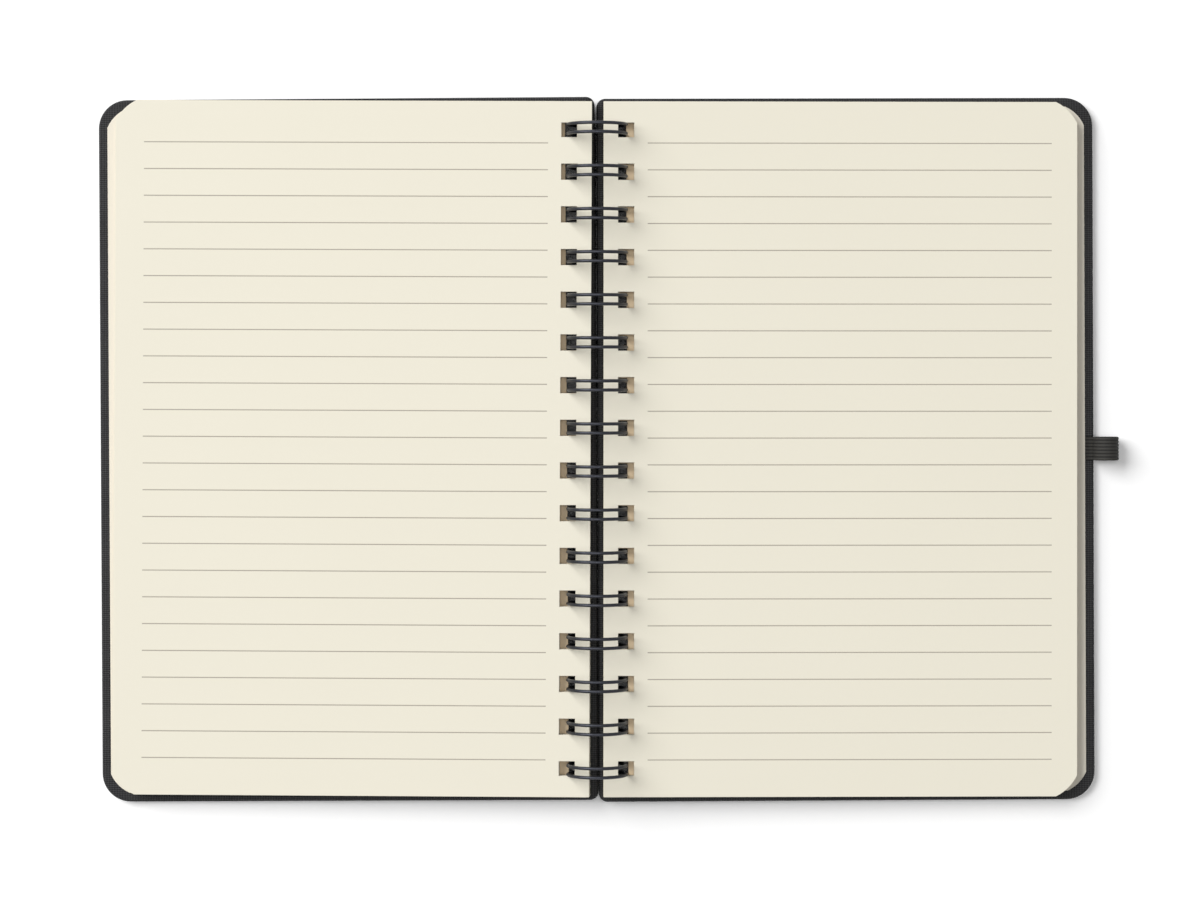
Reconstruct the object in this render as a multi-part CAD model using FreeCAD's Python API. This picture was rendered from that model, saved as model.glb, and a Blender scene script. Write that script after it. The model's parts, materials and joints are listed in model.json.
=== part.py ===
import FreeCAD, Part

import math
import os

# An open A5 notebook that lies flat, bound by twin-loop wire. Millimetres, +Z up.
# The pieces are worked out from the binding's axis, which runs along Y through the middle of the loops.
# Each side of the book is drawn flat, as a slab below that axis, and then lowered at its outer end.

# Covers, of board wrapped in a thin textured skin
cover_length = 210.0
cover_width = 148.5
cover_thickness = 2.5
cover_edge_bevel = 0.6
cover_fore_corner = 8.5
cover_spine_corner = 2.6
cover_gap = 0.5

# Endpapers, glued inside the covers with an even border of the skin left in sight
endpaper_thickness = 0.2
endpaper_border = 2.7
endpaper_corner_cut = 5.6
endpaper_corner_bulge = 0.75

# Leaves, half of the book on each side
leaf_length = 207.0
leaf_width = 142.0
leaf_stack = 3.4
leaf_facing_gap = 1.2
leaf_corner_cut = 6.3
leaf_corner_bulge = 0.75
leaf_spine_corner = 0.8
leaf_web = 4.2

# Binding wire, one length bent into pairs of loops
wire_diameter = 1.0
loop_count = 16
loop_pitch = 12.7
twin_spacing = 2.7
ring_slack = 1.5
root_corner_radius = 1.2
closing_gap = 0.28
seam_angle = 4.0
wire_sides = 6
arc_step = 20.0
bend_step = 45.0

# Play between the wire and the punched holes
hole_side_play = 0.6
cover_hole_play = 0.8
leaf_hole_inner_play = 0.95
leaf_hole_outer_play = 1.9

# Pen loop, a flat elastic strap folded in two, its ends held between the back cover and its endpaper
strap_thickness = 0.7
strap_width = 7.0
strap_tail = 16.0
pen_loop_overhang = 7.2
pen_loop_diameter = 7.5
pen_loop_neck_round = 1.2
pen_loop_leaf_play = 0.5
strap_pocket_play = 0.15
pen_loop_floor_gap = 0.05

# How far each piece has turned and slid on the wire, within the play of its holes
front_cover_turn = 0.33
back_cover_turn = 0.2
front_leaves_turn = -0.2
back_leaves_turn = 0.0
front_cover_slide = 0.2
back_cover_slide = -0.4

# Levels in the slab, as depths below the binding's axis
leaves_top = leaf_facing_gap / 2
leaves_bottom = leaves_top + leaf_stack
cover_top = leaves_bottom + endpaper_thickness
cover_bottom = cover_top + cover_thickness
wire_radius = wire_diameter / 2
ring_radius = cover_bottom + ring_slack + wire_radius


def wire_inner_reach(depth):
    """How far out from the axis the inside of a loop is at this depth."""
    return math.sqrt((ring_radius - wire_radius) ** 2 - depth**2)


def wire_outer_reach(depth):
    """How far out from the axis the outside of a loop is at this depth."""
    return math.sqrt((ring_radius + wire_radius) ** 2 - depth**2)


# Places across the slab, measured outward from the binding's axis
hole_width = twin_spacing + wire_diameter + 2 * hole_side_play
cover_spine = cover_gap / 2
cover_fore = cover_spine + cover_width
cover_hole_start = wire_inner_reach(cover_bottom) - cover_hole_play
cover_hole_end = wire_outer_reach(leaves_bottom) + cover_hole_play
leaf_hole_start = wire_inner_reach(leaves_bottom) - leaf_hole_inner_play
leaf_hole_end = wire_outer_reach(leaves_top) + leaf_hole_outer_play
leaf_spine = leaf_hole_start - leaf_web
leaf_fore = leaf_spine + leaf_width

# Seam of the binding wire: the tips of the loops close against the roots near the lowest point of the ring.
# Distances along the seam are measured on the ring's tangent, and angles from the lowest point.
tip_radius = twin_spacing / 2
seam_reach = tip_radius + root_corner_radius + wire_diameter + closing_gap
seam_offset = tip_radius + root_corner_radius
tip_to_root = math.sqrt(seam_reach**2 - seam_offset**2)
tip_angle = math.degrees(tip_to_root / 2 / ring_radius) - seam_angle
root_angle = -math.degrees(tip_to_root / 2 / ring_radius) - seam_angle
tip_depth = ring_radius * math.cos(math.radians(tip_angle)) + tip_radius * math.sin(math.radians(tip_angle))
link_depth = ring_radius * math.cos(math.radians(root_angle)) - root_corner_radius * math.sin(
    math.radians(root_angle)
)
axis_height = max(tip_depth, link_depth, ring_radius) + wire_radius


def lowering_angle():
    """The slope, in degrees, that brings the fore edge of a cover down to the table."""
    out = cover_fore - cover_edge_bevel
    reach = math.hypot(cover_bottom, out)
    return math.degrees(math.asin(axis_height / reach) - math.atan2(cover_bottom, out))


slope = lowering_angle()

# Pen loop's middle, in the slab, beyond whichever reaches farther out, the cover or the leaves
book_fore = max(cover_fore, leaf_fore + pen_loop_leaf_play)
pen_loop_out = book_fore + pen_loop_overhang - pen_loop_diameter / 2
pen_loop_depth = (
    axis_height
    - pen_loop_floor_gap
    - pen_loop_diameter / 2
    - pen_loop_out * math.sin(math.radians(slope))
) / math.cos(math.radians(slope))
strap_bottom = cover_top + 2 * strap_thickness


def vector(x, y, z):
    return FreeCAD.Vector(x, y, z)


def round_bulge(radius):
    """The bulge that makes a corner cut of this size a true quarter circle."""
    return radius * (1 - math.sqrt(0.5))


def sheet(inner, outer, length, bottom, top, fore_corner, spine_corner):
    """A flat sheet from inner to outer across the slab, between two depths, with bowed corner cuts.

    Each corner is a pair: how far the cut reaches along each side, and how far its arc bows out from the chord.
    """
    corners = [
        (outer, length / 2, 1, 1, fore_corner),
        (inner, length / 2, -1, 1, spine_corner),
        (inner, -length / 2, -1, -1, spine_corner),
        (outer, -length / 2, 1, -1, fore_corner),
    ]
    edges = []
    last = None
    first = None
    for x, y, side_x, side_y, (cut, bulge) in corners:
        on_side = vector(x, y - side_y * cut, -bottom)
        on_end = vector(x - side_x * cut, y, -bottom)
        bow = bulge * math.sqrt(0.5) - cut / 2
        middle = vector(x + side_x * bow, y + side_y * bow, -bottom)
        start, finish = (on_side, on_end) if side_x * side_y > 0 else (on_end, on_side)
        if last is None:
            first = start
        else:
            edges.append(Part.LineSegment(last, start).toShape())
        edges.append(Part.Arc(start, middle, finish).toShape())
        last = finish
    edges.append(Part.LineSegment(last, first).toShape())
    return Part.Face(Part.Wire(edges)).extrude(vector(0, 0, bottom - top))


def punch(shape, start, end):
    """Cuts one row of rectangular holes, one for each pair of loops."""
    tools = []
    for n in range(loop_count):
        tools.append(
            Part.makeBox(
                end - start,
                hole_width,
                2 * ring_radius,
                vector(start, loop_middle(n) - hole_width / 2, -2 * ring_radius),
            )
        )
    return shape.cut(tools)


def loop_middle(n):
    return (n - (loop_count - 1) / 2) * loop_pitch


def cover():
    """A board with eased edges and one row of punched holes."""
    board = sheet(
        cover_spine,
        cover_fore,
        cover_length,
        cover_bottom,
        cover_top,
        (cover_fore_corner, round_bulge(cover_fore_corner)),
        (cover_spine_corner, round_bulge(cover_spine_corner)),
    )
    rims = []
    for edge in board.Edges:
        box = edge.BoundBox
        if box.ZLength < cover_thickness / 2:
            rims.append(edge)
    return punch(board.makeChamfer(cover_edge_bevel, rims), cover_hole_start, cover_hole_end)


def back_board():
    """The back cover, with a shallow pocket in its inner face for the ends of the strap."""
    width = strap_width + 2 * strap_pocket_play
    pocket = Part.makeBox(
        strap_tail + endpaper_border,
        width,
        strap_bottom - cover_top,
        vector(cover_fore - strap_tail, -width / 2, -strap_bottom),
    )
    return cover().cut(pocket)


def endpaper():
    """A sheet of paper glued over the cover's inner face."""
    paper = sheet(
        cover_spine + endpaper_border,
        cover_fore - endpaper_border,
        cover_length - 2 * endpaper_border,
        cover_top,
        leaves_bottom,
        (endpaper_corner_cut, endpaper_corner_bulge),
        (endpaper_corner_cut, endpaper_corner_bulge),
    )
    return punch(paper, cover_hole_start, cover_hole_end)


def leaves():
    """Half of the book's leaves, as one block."""
    block = sheet(
        leaf_spine,
        leaf_fore,
        leaf_length,
        leaves_bottom,
        leaves_top,
        (leaf_corner_cut, leaf_corner_bulge),
        (leaf_spine_corner, round_bulge(leaf_spine_corner)),
    )
    return punch(block, leaf_hole_start, leaf_hole_end)


def pen_loop():
    """The folded strap: its two ends lie flat on each other, and the rest stands open as a round loop."""
    outer_radius = pen_loop_diameter / 2
    across = vector(0, 1, 0)
    middle = vector(pen_loop_out, -strap_width / 2, -pen_loop_depth)
    disc = Part.makeCylinder(outer_radius, strap_width, middle, across)
    tail = Part.makeBox(
        pen_loop_out - (cover_fore - strap_tail),
        strap_width,
        2 * strap_thickness,
        vector(cover_fore - strap_tail, -strap_width / 2, -strap_bottom),
    )
    body = disc.fuse(tail).removeSplitter()
    necks = []
    for edge in body.Edges:
        box = edge.BoundBox
        if box.XLength > strap_thickness or box.ZLength > strap_thickness:
            continue
        if cover_fore - strap_tail / 2 < box.XMin < pen_loop_out and off_circle(box, outer_radius) < 0.01:
            necks.append(edge)
    rounded = body.makeFillet(pen_loop_neck_round, necks)
    hollow = Part.makeCylinder(outer_radius - strap_thickness, strap_width, middle, across)
    return rounded.cut(hollow)


def off_circle(box, radius):
    """How far an edge along Y is from the round of the pen loop."""
    return abs(math.hypot(box.Center.x - pen_loop_out, box.Center.z + pen_loop_depth) - radius)


def on_ring(angle, along, y):
    """A point at this angle from the ring's lowest point, moved along the tangent there."""
    turn = math.radians(angle)
    x = ring_radius * math.sin(turn) + along * math.cos(turn)
    z = -ring_radius * math.cos(turn) + along * math.sin(turn)
    return vector(x, y, z)


def loop_side(y, opening):
    """One side of a loop, from the root round the front, over the top and down to the tip, or back again."""
    sweep = root_angle - (tip_angle - 360)
    steps = round(sweep / arc_step)
    angles = [root_angle - sweep * i / steps for i in range(steps + 1)]
    if not opening:
        angles.reverse()
    return [on_ring(angle, 0, y) for angle in angles]


def bend(angle, centre_along, centre_y, radius, start, sweep):
    """The points inside a bend that lies flat on the ring's tangent, without its two ends."""
    steps = round(abs(sweep) / bend_step)
    points = []
    for i in range(1, steps):
        turn = math.radians(start + sweep * i / steps)
        points.append(on_ring(angle, centre_along + radius * math.cos(turn), centre_y + radius * math.sin(turn)))
    return points


def wire_path():
    """Every corner of the wire's middle line, from one cut end to the other."""
    path = []
    for n in range(loop_count):
        near = loop_middle(n) - tip_radius
        far = loop_middle(n) + tip_radius
        if n > 0:
            turn_in = near - root_corner_radius
            path.append(on_ring(root_angle, root_corner_radius, turn_in))
            path += bend(root_angle, 0, turn_in, root_corner_radius, 0, 90)
        path += loop_side(near, True)
        path += bend(tip_angle, 0, loop_middle(n), tip_radius, -90, -180)
        path += loop_side(far, False)
        if n < loop_count - 1:
            turn_out = far + root_corner_radius
            path += bend(root_angle, 0, turn_out, root_corner_radius, -90, 90)
            path.append(on_ring(root_angle, root_corner_radius, turn_out))
    return path


def rod(path, radius, sides, outward):
    """A many-sided rod along straight runs, mitred where they meet. One of its edges starts on the outward side."""
    runs = [(b - a).normalize() for a, b in zip(path, path[1:])]
    across = runs[0].cross(outward).normalize()
    up = across.cross(runs[0])
    ring = []
    for k in range(sides):
        turn = 2 * math.pi * k / sides
        ring.append(path[0] + up * (radius * math.cos(turn)) + across * (radius * math.sin(turn)))
    rings = [ring]
    for i, run in enumerate(runs):
        ahead = runs[i + 1] if i + 1 < len(runs) else run
        mitre = run + ahead
        ring = [p + run * ((path[i + 1] - p).dot(mitre) / run.dot(mitre)) for p in ring]
        rings.append(ring)
    faces = [flat_face(rings[0]), flat_face(rings[-1])]
    for a, b in zip(rings, rings[1:]):
        for k in range(sides):
            m = (k + 1) % sides
            faces.append(flat_face([a[k], a[m], b[m], b[k]]))
    return Part.makeSolid(Part.makeShell(faces))


def flat_face(corners):
    return Part.Face(Part.makePolygon(corners + [corners[0]]))


def binding_wire():
    path = wire_path()
    outward = on_ring(root_angle, 0, 0)
    return rod(path, wire_radius, wire_sides, outward)


def placed(shape, front, turn, slide):
    """Puts a piece of the slab on its side of the binding, turned and slid on the wire, and lowers its outer end."""
    if front:
        shape = shape.mirror(vector(0, 0, 0), vector(1, 0, 0))
    shape.rotate(vector(0, 0, 0), vector(0, 0, 1), turn)
    shape.translate(vector(0, slide, 0))
    shape.rotate(vector(0, 0, 0), vector(0, 1, 0), -slope if front else slope)
    return shape


def pieces():
    """Every piece of the notebook, in the binding's own frame."""
    return {
        "front_cover": placed(cover(), True, front_cover_turn, front_cover_slide),
        "front_endpaper": placed(endpaper(), True, front_cover_turn, front_cover_slide),
        "front_leaves": placed(leaves(), True, front_leaves_turn, 0),
        "binding_wire": binding_wire(),
        "back_leaves": placed(leaves(), False, back_leaves_turn, 0),
        "back_endpaper": placed(endpaper(), False, back_cover_turn, back_cover_slide),
        "back_cover": placed(back_board(), False, back_cover_turn, back_cover_slide),
        "pen_loop": placed(pen_loop(), False, back_cover_turn, back_cover_slide),
    }


def main():
    """Moves the origin to the middle of the notebook's footprint, on the table, and writes the pieces."""
    made = pieces()
    box = Part.makeCompound(list(made.values())).optimalBoundingBox(False, False)
    to_table = vector(-(box.XMin + box.XMax) / 2, -(box.YMin + box.YMax) / 2, -box.ZMin)
    os.makedirs("parts", exist_ok=True)
    for name, shape in made.items():
        shape.translate(to_table)
        shape.exportStep(os.path.join("parts", name + ".step"))
        print(name, "valid", shape.isValid(), "solids", len(shape.Solids), "volume", round(shape.Volume, 1))
    loop = Part.Vertex(pen_loop_out, 0, -pen_loop_depth)
    loop = placed(loop, False, back_cover_turn, back_cover_slide)
    loop.translate(to_table)
    print("binding axis at x", round(to_table.x, 4), "y", round(to_table.y, 4), "z", round(to_table.z, 4))
    print("covers slope by", round(slope, 4), "degrees, so the front cover closes at", round(180 + 2 * slope, 4))
    print("pen loop's middle", [round(c, 3) for c in loop.Point], "clear radius", pen_loop_diameter / 2 - strap_thickness)


main()
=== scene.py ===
"""An open A5 notebook with a twin-loop wire binding, seen from straight above on a white table."""

import json
import math

import bmesh
import bpy
from mathutils import Matrix, Vector


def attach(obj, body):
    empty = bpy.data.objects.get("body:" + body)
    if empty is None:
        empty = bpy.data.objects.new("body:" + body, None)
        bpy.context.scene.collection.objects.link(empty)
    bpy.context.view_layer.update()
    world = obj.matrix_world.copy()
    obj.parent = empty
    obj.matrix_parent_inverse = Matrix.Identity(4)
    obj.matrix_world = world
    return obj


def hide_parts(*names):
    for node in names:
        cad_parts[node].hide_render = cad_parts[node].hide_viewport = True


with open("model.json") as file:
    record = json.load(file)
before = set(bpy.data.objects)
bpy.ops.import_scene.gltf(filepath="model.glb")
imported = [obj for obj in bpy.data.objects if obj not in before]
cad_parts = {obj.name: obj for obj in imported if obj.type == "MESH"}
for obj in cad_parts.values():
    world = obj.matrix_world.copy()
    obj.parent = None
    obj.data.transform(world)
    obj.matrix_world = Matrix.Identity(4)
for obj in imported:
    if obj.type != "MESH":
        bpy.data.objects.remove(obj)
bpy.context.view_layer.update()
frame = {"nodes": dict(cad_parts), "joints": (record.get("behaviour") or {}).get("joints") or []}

MM = 0.001

# Covers
cover_length = 210.0 * MM
cover_width = 148.5 * MM
cover_thickness = 2.5 * MM
cover_edge_round = 0.8 * MM
cover_edge_steps = 5
cover_fore_corner = 8.5 * MM
cover_spine_corner = 2.6 * MM
cover_corner_steps = 12
cover_gap = 0.5 * MM
grain_pitch_along = 0.62 * MM
grain_pitch_across = 0.78 * MM

# Leaves. The ones on the right are trimmed a little narrower.
leaf_length = 207.0 * MM
leaf_width = 142.0 * MM
right_leaf_trim = 0.9 * MM
leaf_stack = 3.4 * MM
leaf_facing_gap = 1.2 * MM
leaf_corner_cut = 6.3 * MM
leaf_corner_bulge = 0.75 * MM
leaf_web = 4.2 * MM
leaf_count = 35
sheet_thickness = 0.088 * MM
loose_slide = 0.05 * MM
loose_turn = math.radians(0.02)

# Ruling
ruled_lines = 24
ruling_pitch = 7.98 * MM
ruling_head = 12.4 * MM
ruling_fore_margin = 8.5 * MM
ruling_spine_margin = 13.0 * MM
ruling_weight = 0.3 * MM

# Endpapers
endpaper_thickness = 0.2 * MM

# Binding wire
wire_radius = 0.5 * MM
wire_sides = 12
loop_count = 16
loop_pitch = 12.7 * MM
tip_radius = 1.35 * MM
root_radius = 1.2 * MM
closing_gap = 0.28 * MM
ring_slack = 1.5 * MM
seam_angle = math.radians(4.0)
loop_steps = 56
bend_steps = 8

# Play in the punched holes
hole_side_play = 0.6 * MM
cover_hole_play = 0.8 * MM
leaf_hole_inner_play = 0.95 * MM
leaf_hole_outer_play = 1.9 * MM

# Pen loop
strap_thickness = 0.7 * MM
strap_width = 7.0 * MM
strap_tail = 16.0 * MM
strap_ribs = 7
strap_rib_height = 0.2 * MM
strap_thread_pitch = 0.34 * MM
pen_loop_overhang = 7.2 * MM
pen_loop_radius = 3.75 * MM
pen_loop_neck = 1.2 * MM
pen_loop_floor_gap = 0.05 * MM
strap_pocket_play = 0.15 * MM

# The body and the material slot of each piece that is drawn anew
pieces = {
    "front_cover": ("front", "cover_skin"),
    "front_leaves": ("front", "leaves"),
    "binding_wire": ("wire", "wire"),
    "back_leaves": ("back", "leaves"),
    "back_cover": ("back", "cover_skin"),
    "pen_loop": ("back", "elastic"),
}

# Turn in degrees and slide of each piece on the wire
turns = {"front_cover": 0.33, "back_cover": 0.2, "front_leaves": -0.2, "back_leaves": 0.0}
slides = {"front_cover": 0.2 * MM, "back_cover": -0.4 * MM, "front_leaves": 0.0, "back_leaves": 0.0}

# Paper colours, as linear red, green and blue
leaf_tint = (0.84, 0.8, 0.675)
endpaper_tint = (0.79, 0.745, 0.645)

# Table, lamps and camera. The image's width and the notebook's place below its middle are in pixels.
white = (1.0, 1.0, 1.0, 1.0)
table_radius = 0.6
# How far the table looks for cover when it paints shade under the notebook
painted_shade_reach = 10.0 * MM
lamp_distance = 7.0
camera_height = 1.0
camera_right_of_axis = 0.87 * MM
camera_up_from_middle = 23.3 * MM
image_width = 1200.0
image_drop = 85.0

# The binding's axis and the slope of the covers, from the frame
hinge = next(joint for joint in frame["joints"] if joint["name"] == "front_cover_hinge")
axis = Vector(hinge["pos_m"])
slope = math.radians((hinge["range_deg"][1] - 180.0) / 2)

# Depths below the binding's axis
leaves_top = leaf_facing_gap / 2
leaves_bottom = leaves_top + leaf_stack
cover_top = leaves_bottom + endpaper_thickness
cover_bottom = cover_top + cover_thickness
ring_radius = cover_bottom + ring_slack + wire_radius


def wire_inner_reach(depth):
    """How far out from the axis the inside of a loop is at this depth."""
    return math.sqrt((ring_radius - wire_radius) ** 2 - depth**2)


def wire_outer_reach(depth):
    """How far out from the axis the outside of a loop is at this depth."""
    return math.sqrt((ring_radius + wire_radius) ** 2 - depth**2)


# Places across each side, measured outward from the binding's axis
hole_width = 2 * (tip_radius + wire_radius + hole_side_play)
cover_spine = cover_gap / 2
cover_fore = cover_spine + cover_width
cover_hole_start = wire_inner_reach(cover_bottom) - cover_hole_play
cover_hole_end = wire_outer_reach(leaves_bottom) + cover_hole_play
leaf_hole_start = wire_inner_reach(leaves_bottom) - leaf_hole_inner_play
leaf_hole_end = wire_outer_reach(leaves_top) + leaf_hole_outer_play
leaf_spine = leaf_hole_start - leaf_web
leaf_fore = leaf_spine + leaf_width

# Middle of the pen loop
pen_loop_out = cover_fore + pen_loop_overhang - pen_loop_radius
pen_loop_lift = axis.z - pen_loop_floor_gap - pen_loop_radius - pen_loop_out * math.sin(slope)
pen_loop_depth = pen_loop_lift / math.cos(slope)


class Value:
    """An output of a node that Python's operators work on."""

    def __init__(self, graph, socket):
        self.graph = graph
        self.socket = socket

    def out(self, name):
        """Another output of the same node."""
        return Value(self.graph, self.socket.node.outputs[name])

    def math(self, operation, *others):
        return self.graph.node("ShaderNodeMath", {"operation": operation}, [self, *others])

    def clamped(self):
        return self.math("MAXIMUM", 0.0).math("MINIMUM", 1.0)

    def parts(self):
        """The x, y and z of a vector."""
        x = self.graph.node("ShaderNodeSeparateXYZ", {}, [self])
        return x, x.out("Y"), x.out("Z")

    def __add__(self, other):
        return self.math("ADD", other)

    def __radd__(self, other):
        return self.math("ADD", other)

    def __sub__(self, other):
        return self.math("SUBTRACT", other)

    def __rsub__(self, other):
        return self.graph.node("ShaderNodeMath", {"operation": "SUBTRACT"}, [other, self])

    def __mul__(self, other):
        return self.math("MULTIPLY", other)

    def __rmul__(self, other):
        return self.math("MULTIPLY", other)

    def __truediv__(self, other):
        return self.math("DIVIDE", other)

    def __rtruediv__(self, other):
        return self.graph.node("ShaderNodeMath", {"operation": "DIVIDE"}, [other, self])

    def __gt__(self, other):
        return self.math("GREATER_THAN", other)

    def __lt__(self, other):
        return self.math("LESS_THAN", other)


class Graph:
    """A tree of nodes, for a material, the world or a geometry modifier."""

    def __init__(self, tree):
        self.tree = tree

    def node(self, kind, settings, inputs=(), output=0):
        """Adds a node. Its settings come first, then its inputs: in order, or by name or number."""
        made = self.tree.nodes.new(kind)
        for key, value in settings.items():
            setattr(made, key, value)
        pairs = inputs.items() if isinstance(inputs, dict) else enumerate(inputs)
        for key, value in pairs:
            self.connect(value, made.inputs[key])
        return Value(self, made.outputs[output]) if made.outputs else None

    def connect(self, value, socket):
        if isinstance(value, Value):
            self.tree.links.new(value.socket, socket)
        else:
            socket.default_value = value

    def blend(self, factor, first, second):
        """A mix of two colours."""
        return self.node("ShaderNodeMix", {"data_type": "RGBA"}, {0: factor, 6: first, 7: second}, 2)

    def seen(self):
        """One for rays that come from the camera, a mirror or glass, and nought for all others."""
        straight = self.node("ShaderNodeLightPath", {}, (), "Is Camera Ray")
        return (straight + straight.out("Is Glossy Ray") + straight.out("Is Transmission Ray")).clamped()


class Finish(Graph):
    """One material, with a Principled shader."""

    def __init__(self, name, **settings):
        self.material = bpy.data.materials.new(name)
        self.material.use_nodes = True
        super().__init__(self.material.node_tree)
        self.shader = self.tree.nodes["Principled BSDF"]
        for key, value in settings.items():
            self.drive(key.replace("_", " "), value)

    def drive(self, name, value):
        self.connect(value, self.shader.inputs[name])

    def place(self):
        """Object coordinates, in metres."""
        return self.node("ShaderNodeTexCoord", {}, (), "Object")

    def noise(self, place, size, detail=2.0, roughness=0.5):
        """Soft noise whose lumps have about this size."""
        inputs = {"Vector": place, "Scale": 1 / size, "Detail": detail, "Roughness": roughness}
        return self.node("ShaderNodeTexNoise", {}, inputs)

    def wave(self, value, pitch):
        """A sine of one cycle to each pitch."""
        return (value * (2 * math.pi / pitch)).math("SINE")

    def bump(self, height, strength, distance):
        inputs = {"Height": height, "Strength": strength, "Distance": distance}
        self.drive("Normal", self.node("ShaderNodeBump", {}, inputs))


def tone(colour, factor):
    """A colour made lighter or darker, with full alpha."""
    return tuple(part * factor for part in colour) + (1.0,)


def cover_skin():
    """Black synthetic leather with a fine woven emboss, its crests painted lighter and hollows darker as
    painted highlight and shade.
    """
    skin = Finish("cover_skin", Specular_IOR_Level=0.18)
    place = skin.place()
    x, y, _ = place.parts()
    grain = skin.noise(place, 0.62 * MM, 3.0, 0.6)
    threads = skin.wave(y, grain_pitch_along) * 0.6 + skin.wave(x, grain_pitch_across) * 0.4
    weave = threads + (grain - 0.5) * 1.6
    wear = skin.noise(place, 12.5 * MM)
    # Painted highlight and shade: the weave's crests are painted lighter and its hollows darker, mixed with
    # soft patches of wear.
    weave_light_and_wear = (wear * 0.4 + weave * 0.5 + 0.2).clamped()
    skin.drive("Base Color", skin.blend(weave_light_and_wear, (0.004, 0.004, 0.0045, 1), (0.052, 0.052, 0.054, 1)))
    skin.drive("Roughness", grain * 0.2 + 0.5)
    skin.bump(weave, 0.8, 0.09 * MM)
    return skin.material


def paper(name, tint, ruled):
    """Uncoated cream paper. Leaves are ruled; endpapers get painted warm shade round their holes, and cut
    edges painted shade.
    """
    stock = Finish(name, Roughness=0.9, Specular_IOR_Level=0.25)
    place = stock.place()
    cloud = stock.noise(place, 50.0 * MM)
    fibre = stock.noise(place, 0.45 * MM, 4.0, 0.65)
    colour = stock.blend(cloud * 0.6 + fibre * 0.4, tone(tint, 0.985), tone(tint, 1.012))
    if ruled:
        from_spine, from_head, _ = stock.node("ShaderNodeUVMap", {"uv_map": "sheet"}).parts()
        down = (from_head - ruling_head) / ruling_pitch
        off_line = ((down + 0.5).math("FRACT") - 0.5).math("ABSOLUTE") * ruling_pitch
        on_lines = (down > -0.5) * (down < ruled_lines - 0.5) * (off_line < ruling_weight / 2)
        between_margins = (from_spine > ruling_spine_margin) * (from_spine < leaf_width - ruling_fore_margin)
        colour = stock.blend(on_lines * between_margins * 0.85, colour, (0.33, 0.29, 0.24, 1))
    else:
        # Painted shade: round its holes the endpaper is painted brown, for the warm shade that falls inside
        # the holes.
        from_axis = (place.parts()[0] - axis.x).math("ABSOLUTE")
        colour = stock.blend(from_axis < leaf_hole_end + hole_side_play, colour, (0.84, 0.68, 0.47, 1))
    # Painted shade: upright faces, the cut edges, are painted dark brown for the shade between stacked
    # sheets; sheet_shade sets how dark.
    up = stock.node("ShaderNodeTexCoord", {}, (), "Normal").parts()[2]
    sheet_shade = stock.node("ShaderNodeAttribute", {"attribute_name": "sheet_shade"}, (), "Fac")
    edge = stock.blend(sheet_shade, (0.26, 0.21, 0.14, 1), (0.74, 0.65, 0.49, 1))
    stock.drive("Base Color", stock.blend(up.math("ABSOLUTE") < 0.5, colour, edge))
    stock.bump(fibre, 0.12, 0.02 * MM)
    return stock.material


def coated_wire():
    """Dark gunmetal coating on steel wire."""
    coat = Finish("coated_wire", Metallic=0.75)
    fleck = coat.noise(coat.place(), 0.83 * MM, 3.0, 0.6)
    coat.drive("Base Color", coat.blend(fleck, (0.017, 0.018, 0.023, 1), (0.042, 0.044, 0.055, 1)))
    coat.drive("Roughness", fleck * 0.2 + 0.24)
    coat.bump(fleck, 0.08, 0.02 * MM)
    return coat.material


def elastic():
    """Black ribbed elastic, its ribs wrapped in fine cross threads. Rib crests are painted lighter and
    grooves darker, as painted highlight and shade.
    """
    band = Finish("elastic", Roughness=0.75, Specular_IOR_Level=0.3)
    along, across, _ = band.node("ShaderNodeUVMap", {"uv_map": "strap"}).parts()
    threads = band.wave(along, strap_thread_pitch)
    fuzz = band.noise(band.place(), 0.33 * MM, 3.0, 0.6)
    # Painted highlight and shade: rib crests are painted lighter and the grooves between them near black,
    # with threads and fuzz mixed in.
    ribs = ((across / strap_width + 0.5) * (math.pi * strap_ribs)).math("SINE").math("ABSOLUTE")
    crest = (ribs * 0.7 + threads * 0.1 + fuzz * 0.2).clamped()
    band.drive("Base Color", band.blend(crest, (0.003, 0.003, 0.003, 1), (0.042, 0.04, 0.036, 1)))
    band.bump(threads * 0.5 + fuzz, 0.5, 0.05 * MM)
    return band.material


def white_table():
    """Matt white to the eye, painted black as painted shade under the notebook, and a little darker to the
    light it throws back.
    """
    top = Finish("white_table", Roughness=1.0, Specular_IOR_Level=0.0, Emission_Strength=1.0)
    # Painted shade: where ambient occlusion finds the table closed in under the notebook, it is painted near
    # black.
    openness = top.node("ShaderNodeAmbientOcclusion", {"samples": 8}, {"Distance": painted_shade_reach}, "AO")
    painted_shade = 1.0 - ((openness - 0.12) / 0.16).clamped()
    seen = top.seen()
    lit = top.blend(seen, (0.75, 0.75, 0.75, 1), white)
    top.drive("Base Color", top.blend(painted_shade, lit, (0.02, 0.02, 0.02, 1)))
    top.drive("Emission Color", top.blend(seen * (1.0 - painted_shade), (0, 0, 0, 1), (0.08, 0.08, 0.08, 1)))
    return top.material


def side_matrix(piece):
    """Takes a piece drawn flat below the binding's axis to its place on the table."""
    lowering = -slope if piece.startswith("front") else slope
    return (
        Matrix.Translation(axis)
        @ Matrix.Rotation(lowering, 4, "Y")
        @ Matrix.Translation((0, slides[piece], 0))
        @ Matrix.Rotation(math.radians(turns[piece]), 4, "Z")
    )


def loop_middle(n):
    return (n - (loop_count - 1) / 2) * loop_pitch


def new_object(name, mesh):
    made = bpy.data.objects.new(name, mesh)
    bpy.context.scene.collection.objects.link(made)
    return made


def new_mesh(name, form):
    """A mesh from a bmesh, which is freed."""
    mesh = bpy.data.meshes.new(name)
    form.to_mesh(mesh)
    form.free()
    return mesh


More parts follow.
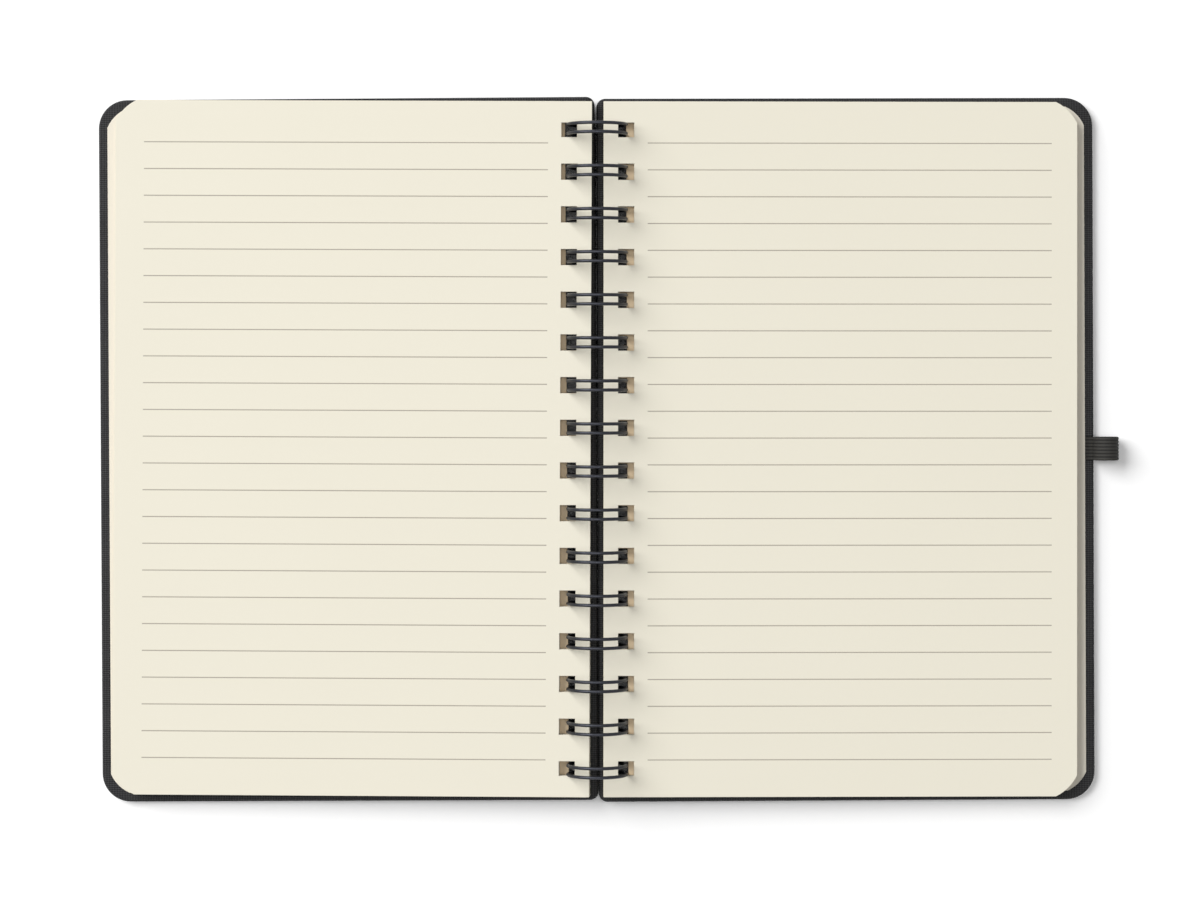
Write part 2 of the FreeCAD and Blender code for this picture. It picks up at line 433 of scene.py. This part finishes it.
def as_plain_mesh(source, name):
    """The object with its modifiers applied, as a plain mesh object. The source is removed."""
    bpy.context.view_layer.update()
    finished = source.evaluated_get(bpy.context.evaluated_depsgraph_get())
    mesh = bpy.data.meshes.new_from_object(finished)
    mesh.name = name
    bpy.data.objects.remove(source)
    return new_object(name, mesh)


def finish_piece(made, node, material, sharp_angle):
    """Gives a piece its material and smooth faces, and puts it in the place of a CAD node."""
    made.data.materials.clear()
    made.data.materials.append(material)
    made.data.polygons.foreach_set("use_smooth", [True] * len(made.data.polygons))
    made.data.set_sharp_from_angle(angle=math.radians(sharp_angle))
    body, slot = pieces[node]
    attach(made, body)
    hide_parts(node)


def corner_arc(corner, side_x, side_y, radius):
    """Points of a round corner, from the side along Y to the side along X."""
    centre = Vector((corner.x - side_x * radius, corner.y - side_y * radius))
    points = []
    for i in range(cover_corner_steps + 1):
        turn = math.pi / 2 * i / cover_corner_steps
        points.append(centre + Vector((side_x * math.cos(turn), side_y * math.sin(turn))) * radius)
    return points


def cover_outline(side):
    """The cover's outline, with large corners at the fore edge and small ones at the spine."""
    half = cover_length / 2
    upper = corner_arc(Vector((cover_fore, half)), 1, 1, cover_fore_corner)
    upper += reversed(corner_arc(Vector((cover_spine, half)), -1, 1, cover_spine_corner))
    lower = [Vector((point.x, -point.y)) for point in reversed(upper)]
    return [Vector((side * point.x, point.y)) for point in upper + lower]


def slab_mesh(name, outline, bottom, top):
    """A closed prism over an outline."""
    form = bmesh.new()
    face = form.faces.new([form.verts.new((point.x, point.y, bottom)) for point in outline])
    grown = bmesh.ops.extrude_face_region(form, geom=[face])
    for vert in grown["geom"]:
        if isinstance(vert, bmesh.types.BMVert):
            vert.co.z = top
    bmesh.ops.recalc_face_normals(form, faces=form.faces)
    return new_mesh(name, form)


def box_into(form, low, high):
    middle = Vector(((a + b) / 2 for a, b in zip(low, high)))
    size = Vector((b - a for a, b in zip(low, high)))
    place = Matrix.Translation(middle) @ Matrix.Diagonal((*size, 1))
    bmesh.ops.create_cube(form, size=1.0, matrix=place)


def punching_tools(side, pocket):
    """Boxes for the row of holes and, on the back cover, for the pocket that holds the strap's ends."""
    form = bmesh.new()
    near, far = sorted((side * cover_hole_start, side * cover_hole_end))
    for n in range(loop_count):
        low = (near, loop_middle(n) - hole_width / 2, -2 * cover_bottom)
        high = (far, loop_middle(n) + hole_width / 2, 0)
        box_into(form, low, high)
    if pocket:
        half = strap_width / 2 + strap_pocket_play
        floor = -cover_top - 2 * strap_thickness
        box_into(form, (cover_fore - strap_tail, -half, floor), (cover_fore + strap_tail, half, 0))
    return new_mesh("punch", form)


def make_cover(node, side, material, pocket):
    """A wrapped board with rounded rims, punched for the wire."""
    board = new_object(node + "_board", slab_mesh(node, cover_outline(side), -cover_bottom, -cover_top))
    rim = board.modifiers.new("rim", "BEVEL")
    rim.width = cover_edge_round
    rim.segments = cover_edge_steps
    rim.limit_method = "ANGLE"
    rim.angle_limit = math.radians(60)
    punch = new_object(node + "_punch", punching_tools(side, pocket))
    cut = board.modifiers.new("punch", "BOOLEAN")
    cut.object = punch
    cut.solver = "EXACT"
    made = as_plain_mesh(board, node + "_wrapped")
    bpy.data.objects.remove(punch)
    made.data.transform(side_matrix(node))
    finish_piece(made, node, material, sharp_angle=40)


def leaf_reach(y, fore):
    """How far out a leaf reaches at this place along the binding, round its bowed corner cuts."""
    if abs(y) <= leaf_length / 2 - leaf_corner_cut:
        return fore
    half = leaf_corner_cut * math.sqrt(0.5)
    radius = (half**2 + leaf_corner_bulge**2) / (2 * leaf_corner_bulge)
    inset = leaf_corner_cut / 2 + (radius - leaf_corner_bulge) * math.sqrt(0.5)
    off_centre = abs(y) - (leaf_length / 2 - inset)
    return min(fore, fore - inset + math.sqrt(max(0.0, radius**2 - off_centre**2)))


def leaf_columns(fore):
    """Places of a leaf's grid lines from spine to fore edge. The second and third bound the holes."""
    plain = 16
    columns = [leaf_spine, leaf_hole_start, leaf_hole_end]
    return columns + [leaf_hole_end + (fore - leaf_hole_end) * i / plain for i in range(1, plain + 1)]


def leaf_rows():
    """Places of a leaf's grid lines from tail to head: the holes' ends, and close lines at the corners."""
    corner_lines = 10
    rows = {-leaf_length / 2, leaf_length / 2}
    for n in range(loop_count):
        rows |= {loop_middle(n) - hole_width / 2, loop_middle(n) + hole_width / 2}
    for i in range(corner_lines):
        place = leaf_length / 2 - leaf_corner_cut * (1 - i / corner_lines)
        rows |= {place, -place}
    return sorted(rows)


def leaf_mesh(side, fore):
    """One punched leaf, with a UV map that holds metres from spine and head."""
    columns = leaf_columns(fore)
    rows = leaf_rows()
    steady = columns[-4]
    form = bmesh.new()
    layer = form.loops.layers.uv.new("sheet")
    grid = []
    for y in rows:
        pull = (leaf_reach(y, fore) - steady) / (fore - steady)
        across = [u if u <= steady else steady + (u - steady) * pull for u in columns]
        grid.append([form.verts.new((side * u, y, 0)) for u in across])
    for r in range(len(rows) - 1):
        middle = (rows[r] + rows[r + 1]) / 2
        punched = any(abs(middle - loop_middle(n)) < hole_width / 4 for n in range(loop_count))
        for c in range(len(columns) - 1):
            if punched and c == 1:
                continue
            corners = [grid[r][c], grid[r][c + 1], grid[r + 1][c + 1], grid[r + 1][c]]
            face = form.faces.new(corners[::side])
            for loop in face.loops:
                loop[layer].uv = (abs(loop.vert.co.x) - leaf_spine, leaf_length / 2 - loop.vert.co.y)
    return new_mesh("leaf", form)


def new_tree(name, sizes):
    """A geometry tree with named inputs. Returns it as a graph, with its input node."""
    tree = bpy.data.node_groups.new(name, "GeometryNodeTree")
    tree.interface.new_socket("Geometry", in_out="INPUT", socket_type="NodeSocketGeometry")
    for size, kind in sizes.items():
        tree.interface.new_socket(size, in_out="INPUT", socket_type="NodeSocket" + kind)
    tree.interface.new_socket("Geometry", in_out="OUTPUT", socket_type="NodeSocketGeometry")
    graph = Graph(tree)
    return graph, graph.node("NodeGroupInput", {})


def end_tree(graph, shape, material):
    """Real copies, dressed in one material, as the tree's result."""
    real = graph.node("GeometryNodeRealizeInstances", {}, [shape])
    dressed = graph.node("GeometryNodeSetMaterial", {}, {"Geometry": real, "Material": material})
    graph.node("NodeGroupOutput", {}, [dressed])
    return graph.tree


def stack_tree(material):
    """Stacks copies of one sheet. Each is turned and slid on the wire by a rule and by a seeded chance."""
    sizes = {
        "Sheets": "Int",
        "Rise": "Float",
        "Lowest Turn": "Float",
        "Highest Turn": "Float",
        "Loose Turn": "Float",
        "Loose Slide": "Float",
        "Seed": "Int",
    }
    graph, given = new_tree("leaf_stack", sizes)
    rise = graph.node("ShaderNodeCombineXYZ", {}, {"Z": given.out("Rise")})
    line = graph.node("GeometryNodeMeshLine", {}, {"Count": given.out("Sheets"), "Offset": rise})
    slide = given.out("Loose Slide")
    slide_low = graph.node("ShaderNodeCombineXYZ", {}, {"X": 0.0 - slide, "Y": 0.0 - slide})
    slide_high = graph.node("ShaderNodeCombineXYZ", {}, {"X": slide, "Y": slide})
    slid = graph.node(
        "FunctionNodeRandomValue",
        {"data_type": "FLOAT_VECTOR"},
        {0: slide_low, 1: slide_high, "Seed": given.out("Seed") + 1.0},
    )
    placed = graph.node("GeometryNodeSetPosition", {}, {"Geometry": line, "Offset": slid})
    level = graph.node("GeometryNodeInputIndex", {}) / (given.out("Sheets") - 1.0)
    lowest = given.out("Lowest Turn")
    turn = lowest + level * (given.out("Highest Turn") - lowest)
    chance = {2: 0.0 - given.out("Loose Turn"), 3: given.out("Loose Turn"), "Seed": given.out("Seed")}
    turn = turn + graph.node("FunctionNodeRandomValue", {"data_type": "FLOAT"}, chance, 1)
    rotation = graph.node("ShaderNodeCombineXYZ", {}, {"Z": turn})
    inputs = {"Points": placed, "Instance": given.out("Geometry"), "Rotation": rotation}
    copies = graph.node("GeometryNodeInstanceOnPoints", {}, inputs)
    # A random value for each sheet, which sets how dark its painted edge shade is.
    shade_seed = {"Seed": given.out("Seed") + 2.0}
    shade = graph.node("FunctionNodeRandomValue", {"data_type": "FLOAT"}, shade_seed, 1)
    shaded = graph.node(
        "GeometryNodeStoreNamedAttribute",
        {"data_type": "FLOAT", "domain": "INSTANCE"},
        {"Geometry": copies, "Name": "sheet_shade", "Value": shade},
    )
    return end_tree(graph, shaded, material)


def add_nodes_modifier(made, tree, values):
    """A Geometry Nodes modifier with its inputs set, each found by its name in the tree."""
    modifier = made.modifiers.new(tree.name, "NODES")
    modifier.node_group = tree
    for item in tree.interface.items_tree:
        if item.in_out == "INPUT" and item.name in values:
            modifier[item.identifier] = values[item.name]


def make_leaves(node, side, fore, tree, material, seed, turn_range):
    """Half of the book's leaves. The range holds the lowest and the highest leaf's turn, in degrees."""
    single = new_object(node + "_sheet", leaf_mesh(side, fore))
    wall = single.modifiers.new("thickness", "SOLIDIFY")
    wall.thickness = sheet_thickness
    wall.offset = 1.0
    values = {
        "Sheets": leaf_count,
        "Rise": leaf_stack / leaf_count,
        "Lowest Turn": math.radians(turn_range[0]),
        "Highest Turn": math.radians(turn_range[1]),
        "Loose Turn": loose_turn,
        "Loose Slide": loose_slide,
        "Seed": seed,
    }
    add_nodes_modifier(single, tree, values)
    made = as_plain_mesh(single, node + "_sheets")
    made.data.transform(side_matrix(node) @ Matrix.Translation((0, 0, -leaves_bottom)))
    finish_piece(made, node, material, sharp_angle=40)


def on_ring(angle, along, y):
    """A point at this angle from the ring's lowest point, moved along the tangent there."""
    x = ring_radius * math.sin(angle) + along * math.cos(angle)
    z = -ring_radius * math.cos(angle) + along * math.sin(angle)
    return Vector((x, y, z))


def bend(angle, middle_y, radius, start, sweep, steps):
    """Points of a bend that lies flat on the ring's tangent, without its last one."""
    points = []
    for i in range(steps):
        turn = math.radians(start + sweep * i / steps)
        points.append(on_ring(angle, radius * math.cos(turn), middle_y + radius * math.sin(turn)))
    return points


def wire_path():
    """The wire's middle line: out and back round each loop, and along the seam between loops."""
    reach = tip_radius + root_radius + 2 * wire_radius + closing_gap
    half_gap = math.sqrt(reach**2 - (tip_radius + root_radius) ** 2) / 2 / ring_radius
    tip = half_gap - seam_angle
    root = -half_gap - seam_angle
    sweep = root - (tip - 2 * math.pi)
    out = [root - sweep * i / loop_steps for i in range(loop_steps)]
    back = [tip - 2 * math.pi + sweep * i / loop_steps for i in range(loop_steps)]
    path = []
    for n in range(loop_count):
        near = loop_middle(n) - tip_radius
        far = loop_middle(n) + tip_radius
        if n > 0:
            path += bend(root, near - root_radius, root_radius, 0, 90, bend_steps)
        path += [on_ring(angle, 0, near) for angle in out]
        path += bend(tip, loop_middle(n), tip_radius, -90, -180, 2 * bend_steps)
        path += [on_ring(angle, 0, far) for angle in back]
        if n < loop_count - 1:
            path += bend(root, far + root_radius, root_radius, -90, 90, bend_steps)
        else:
            path.append(on_ring(root, 0, far))
    return [point + axis for point in path]


def sweep_tree(material):
    """Sweeps a round section along a curve, and closes its ends."""
    graph, given = new_tree("round_sweep", {"Radius": "Float", "Sides": "Int"})
    section = {"Radius": given.out("Radius"), "Resolution": given.out("Sides")}
    circle = graph.node("GeometryNodeCurvePrimitiveCircle", {}, section)
    inputs = {"Curve": given.out("Geometry"), "Profile Curve": circle, "Fill Caps": True}
    swept = graph.node("GeometryNodeCurveToMesh", {}, inputs)
    return end_tree(graph, swept, material)


def make_wire(material):
    """The binding wire, one round wire from end to end."""
    line = bpy.data.curves.new("wire_line", "CURVE")
    line.dimensions = "3D"
    path = wire_path()
    spline = line.splines.new("POLY")
    spline.points.add(len(path) - 1)
    for point, place in zip(spline.points, path):
        point.co = (*place, 1)
    source = new_object("wire_line", line)
    add_nodes_modifier(source, sweep_tree(material), {"Radius": wire_radius, "Sides": wire_sides})
    made = as_plain_mesh(source, "binding_wire_round")
    finish_piece(made, "binding_wire", material, sharp_angle=50)


def turned(centre, radius, start, finish, steps):
    """Points of an arc, with both ends."""
    points = []
    for i in range(steps + 1):
        turn = start + (finish - start) * i / steps
        points.append(centre + Vector((math.cos(turn), math.sin(turn))) * radius)
    return points


def strap_line():
    """The strap's middle line: out along the upper strand, round the loop and back along the lower one."""
    radius = pen_loop_radius - strap_thickness / 2
    fillet = pen_loop_neck + strap_thickness / 2
    centre = Vector((pen_loop_out, -pen_loop_depth))
    upper = -cover_top - strap_thickness / 2
    lower = upper - strap_thickness
    end = cover_fore - strap_tail
    above = Vector((0, upper + fillet))
    above.x = centre.x - math.sqrt((radius + fillet) ** 2 - (centre.y - above.y) ** 2)
    below = Vector((0, lower - fillet))
    below.x = centre.x - math.sqrt((radius + fillet) ** 2 - (centre.y - below.y) ** 2)
    into_loop = math.atan2(centre.y - above.y, centre.x - above.x)
    out_of_loop = math.atan2(centre.y - below.y, centre.x - below.x)
    points = [Vector((end, upper))]
    points += turned(above, fillet, -math.pi / 2, into_loop, 8)
    points += turned(centre, radius, into_loop + math.pi, out_of_loop - math.pi, 48)[1:-1]
    points += turned(below, fillet, out_of_loop, math.pi / 2, 8)
    points.append(Vector((end, lower)))
    return points


def strap_section(point, normal):
    """The strap's outline at one place: rounded ribs on both faces, and thinner edges."""
    samples = 8 * strap_ribs
    places = []
    for face in (1, -1):
        for k in range(samples + 1):
            share = k / samples if face > 0 else 1 - k / samples
            crest = abs(math.sin(math.pi * strap_ribs * share)) ** 0.6
            half = strap_thickness / 2 - strap_rib_height * (1 - crest)
            place = point + normal * (face * half)
            places.append(Vector((place.x, (share - 0.5) * strap_width, place.y)))
    return places


def make_pen_loop(material):
    """The ribbed strap, swept along its middle line, with a UV map that holds metres along and across it."""
    line = strap_line()
    form = bmesh.new()
    layer = form.loops.layers.uv.new("strap")
    rings = []
    runs = []
    run = 0.0
    for i, point in enumerate(line):
        ahead = line[min(i + 1, len(line) - 1)] - line[max(i - 1, 0)]
        normal = Vector((-ahead.y, ahead.x)).normalized()
        run += (point - line[i - 1]).length if i else 0.0
        runs.append(run)
        rings.append([form.verts.new(place) for place in strap_section(point, normal)])
    for i in range(len(rings) - 1):
        for k in range(len(rings[i])):
            m = (k + 1) % len(rings[i])
            face = form.faces.new((rings[i][k], rings[i][m], rings[i + 1][m], rings[i + 1][k]))
            for loop, along in zip(face.loops, (runs[i], runs[i], runs[i + 1], runs[i + 1])):
                loop[layer].uv = (along, loop.vert.co.y)
    form.faces.new(rings[0][::-1])
    form.faces.new(rings[-1])
    bmesh.ops.recalc_face_normals(form, faces=form.faces)
    made = new_object("pen_loop_strap", new_mesh("pen_loop_strap", form))
    made.data.transform(side_matrix("back_cover"))
    finish_piece(made, "pen_loop", material, sharp_angle=60)


def dress_endpapers(material):
    """The endpapers are flat sheets, so the CAD nodes themselves are shown."""
    for node in ("front_endpaper", "back_endpaper"):
        piece = frame["nodes"][node]
        piece.data.materials.clear()
        piece.data.materials.append(material)


def make_table():
    """A round white table top that keeps the notebook's shadow."""
    form = bmesh.new()
    bmesh.ops.create_circle(form, cap_ends=True, segments=96, radius=table_radius)
    table = new_object("table_top", new_mesh("table_top", form))
    table.data.materials.append(white_table())


def make_world():
    """Faint white light from all round, and plain white where it is seen."""
    world = bpy.data.worlds.new("studio")
    world.use_nodes = True
    bpy.context.scene.world = world
    sky = Graph(world.node_tree)
    faint = sky.node("ShaderNodeBackground", {}, {"Color": white, "Strength": 0.1})
    plain = sky.node("ShaderNodeBackground", {}, {"Color": white, "Strength": 1.0})
    shown = sky.node("ShaderNodeMixShader", {}, [sky.seen(), faint, plain])
    sky.connect(shown, sky.tree.nodes["World Output"].inputs["Surface"])


def make_lamp(name, size, power, round_left, rise):
    """A round soft lamp that points at the notebook, so many degrees round to its left and so many up."""
    lamp = bpy.data.lights.new(name, "AREA")
    lamp.shape = "DISK"
    lamp.size = size
    lamp.energy = power
    made = new_object(name, lamp)
    turn = math.radians(round_left)
    up = math.radians(rise)
    ray = Vector((-math.sin(turn) * math.cos(up), math.cos(turn) * math.cos(up), math.sin(up)))
    made.location = ray * lamp_distance
    made.rotation_euler = (-ray).to_track_quat("-Z", "Y").to_euler()


def make_camera():
    """Straight above the notebook, framed as an image 1200 pixels wide and 912 high."""
    eye = bpy.data.cameras.new("camera")
    eye.lens = 100.0
    eye.sensor_width = 36.0
    eye.shift_y = -image_drop / image_width
    camera = new_object("camera", eye)
    camera.location = (axis.x + camera_right_of_axis, axis.y + camera_up_from_middle, camera_height)
    bpy.context.scene.camera = camera


def main():
    skin = cover_skin()
    page = paper("leaf_paper", leaf_tint, ruled=True)
    stack = stack_tree(page)
    make_cover("front_cover", -1, skin, pocket=False)
    make_cover("back_cover", 1, skin, pocket=True)
    make_leaves("front_leaves", -1, leaf_fore, stack, page, seed=3, turn_range=(0.1, -0.06))
    make_leaves("back_leaves", 1, leaf_fore - right_leaf_trim, stack, page, seed=8, turn_range=(-0.02, 0.0))
    make_wire(coated_wire())
    make_pen_loop(elastic())
    dress_endpapers(paper("endpaper", endpaper_tint, ruled=False))
    make_table()
    make_world()
    make_lamp("key", size=5.6, power=578.0, round_left=58.0, rise=39.0)
    make_lamp("overhead", size=3.5, power=135.0, round_left=0.0, rise=88.0)
    make_camera()


main()
bpy.context.scene.view_settings.view_transform = "Standard"
